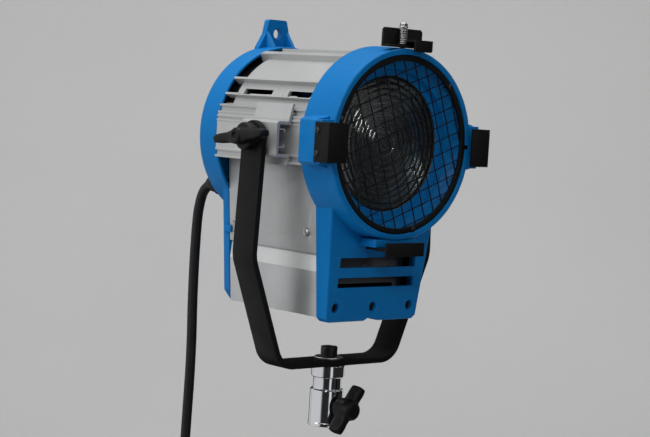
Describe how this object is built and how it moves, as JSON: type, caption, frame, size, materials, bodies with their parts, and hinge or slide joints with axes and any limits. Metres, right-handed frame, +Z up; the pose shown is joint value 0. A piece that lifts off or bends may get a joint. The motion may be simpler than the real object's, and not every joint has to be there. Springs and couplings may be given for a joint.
{
  "type": "fresnel spotlight",
  "caption": "Studio fresnel spotlight: tilting lamp head with stepped lens, wire guard, sprung accessory latch and focusing lamp carriage, hung in a yoke with a stand socket.",
  "frame": {"origin": "centre of the stand socket's open mouth", "axes": "+Z up along the socket's axis, the beam leaves towards -Y when the head is level, and the tilt axis runs along X at z = 0.240 m"},
  "size_m": [0.2194, 0.225, 0.4465],
  "materials": {
    "blue_cast": "satin powder coat",
    "silver_extrusion": "fine satin anodised",
    "black_steel": "satin black powder coat",
    "black_plastic": "moulded, lightly worn",
    "chrome_plate": "polished",
    "zinc_steel": "zinc plated",
    "black_screw": "blackened",
    "heat_steel": "heat-proof black",
    "plate_steel": "dull",
    "lens_glass": "moulded borosilicate",
    "lamp_quartz": "clear quartz",
    "ceramic": "unglazed steatite",
    "brass": "machined",
    "reflector_alu": "bright dipped",
    "tungsten": "drawn wire",
    "lead_rubber": "matt",
    "fibre": "pressed fibre",
    "rocker_red": "gloss"
  },
  "bodies": {
    "yoke_frame": {"yoke": "black_steel", "socket": "chrome_plate", "socket_bolt": "black_screw", "socket_washer": "zinc_steel", "pivot_bolt": "black_screw", "pivot_washers": "zinc_steel", "friction_washers": "fibre"},
    "socket_clamp": {"socket_clamp_knob": "black_plastic", "socket_clamp_stud": "zinc_steel"},
    "tilt_lock": {"tilt_lock_knob": "black_plastic", "tilt_lock_stud": "zinc_steel"},
    "tilt_carrier": {"tilt_bracket_left": "silver_extrusion", "tilt_bracket_right": "silver_extrusion", "pivot_nuts": "zinc_steel"},
    "head": {"front_casting": "blue_cast", "lens": "lens_glass", "lens_retainer": "zinc_steel", "guard_ring": "black_steel", "guard_mesh": "black_steel", "guard_screws": "black_screw", "clip_left": "black_steel", "clip_right": "black_steel", "clip_bottom": "black_steel", "clip_screws": "black_screw", "latch_bolt": "zinc_steel", "latch_spring": "zinc_steel", "body_shell": "silver_extrusion", "vent_baffle": "heat_steel", "side_panel_left": "silver_extrusion", "side_panel_right": "silver_extrusion", "bottom_plate": "heat_steel", "front_screws": "black_screw", "panel_screws": "zinc_steel", "rear_cover": "blue_cast", "rear_grille": "heat_steel", "rear_screws": "black_screw", "cable_gland": "black_plastic", "lead_upper": "lead_rubber", "guide_rods": "zinc_steel", "rod_bracket": "plate_steel", "terminal_block": "ceramic"},
    "latch": {"top_latch": "black_steel"},
    "focus_drive": {"focus_knob": "black_plastic", "focus_spindle": "zinc_steel"},
    "carriage": {"lamp_carriage": "plate_steel", "carriage_nut": "brass", "lamp_holder": "ceramic", "lamp_base": "ceramic", "lamp_pins": "zinc_steel", "lamp_bulb": "lamp_quartz", "lamp_filament": "tungsten", "reflector": "reflector_alu", "reflector_arm": "plate_steel"},
    "mains_lead": {"lead_lower": "lead_rubber", "switch_case_front": "black_plastic", "switch_case_back": "black_plastic"},
    "rocker": {"switch_rocker": "rocker_red"}
  },
  "joints": [
    {"name": "tilt", "type": "hinge", "parent": "yoke_frame", "child": "tilt_carrier", "pos_m": [0, 0, 0.24], "axis": [1, 0, 0], "range_deg": [-30, 90]},
    {"name": "balance_slide", "type": "slide", "parent": "tilt_carrier", "child": "head", "axis": [0, 1, 0], "range_m": [-0.008, 0.008]},
    {"name": "tilt_lock_turn", "type": "hinge", "parent": "yoke_frame", "child": "tilt_lock", "pos_m": [-0.1, 0, 0.24], "axis": [-1, 0, 0], "range_deg": [0, 180]},
    {"name": "socket_clamp_turn", "type": "hinge", "parent": "yoke_frame", "child": "socket_clamp", "pos_m": [0, -0.02, 0.017], "axis": [0, -1, 0], "range_deg": [0, 180]},
    {"name": "latch_lift", "type": "slide", "parent": "head", "child": "latch", "axis": [0, 0, 1], "range_m": [0, 0.005], "stiffness_N_per_m": 400, "springref_m": -0.004, "deforming": ["latch_spring"]},
    {"name": "lamp_focus", "type": "slide", "parent": "head", "child": "carriage", "axis": [0, 1, 0], "range_m": [-0.03, 0.03]},
    {"name": "focus_turn", "type": "hinge", "parent": "head", "child": "focus_drive", "pos_m": [0, 0.0865, 0.136], "axis": [0, 1, 0], "range_deg": [-541, 541]},
    {"name": "lead_hang", "type": "hinge", "parent": "head", "child": "mains_lead", "pos_m": [-0.045, 0.1325, 0.085], "axis": [1, 0, 0], "range_deg": [-91, 31]},
    {"name": "rocker_tip", "type": "hinge", "parent": "mains_lead", "child": "rocker", "pos_m": [-0.045, 0.13, -0.066], "axis": [1, 0, 0], "range_deg": [0, 16]}
  ],
  "couplings": [
    {"joint": "focus_turn", "follows": "lamp_focus", "rad_per_m": 314.16},
    {"joint": "lead_hang", "follows": "tilt", "ratio": -1}
  ]
}
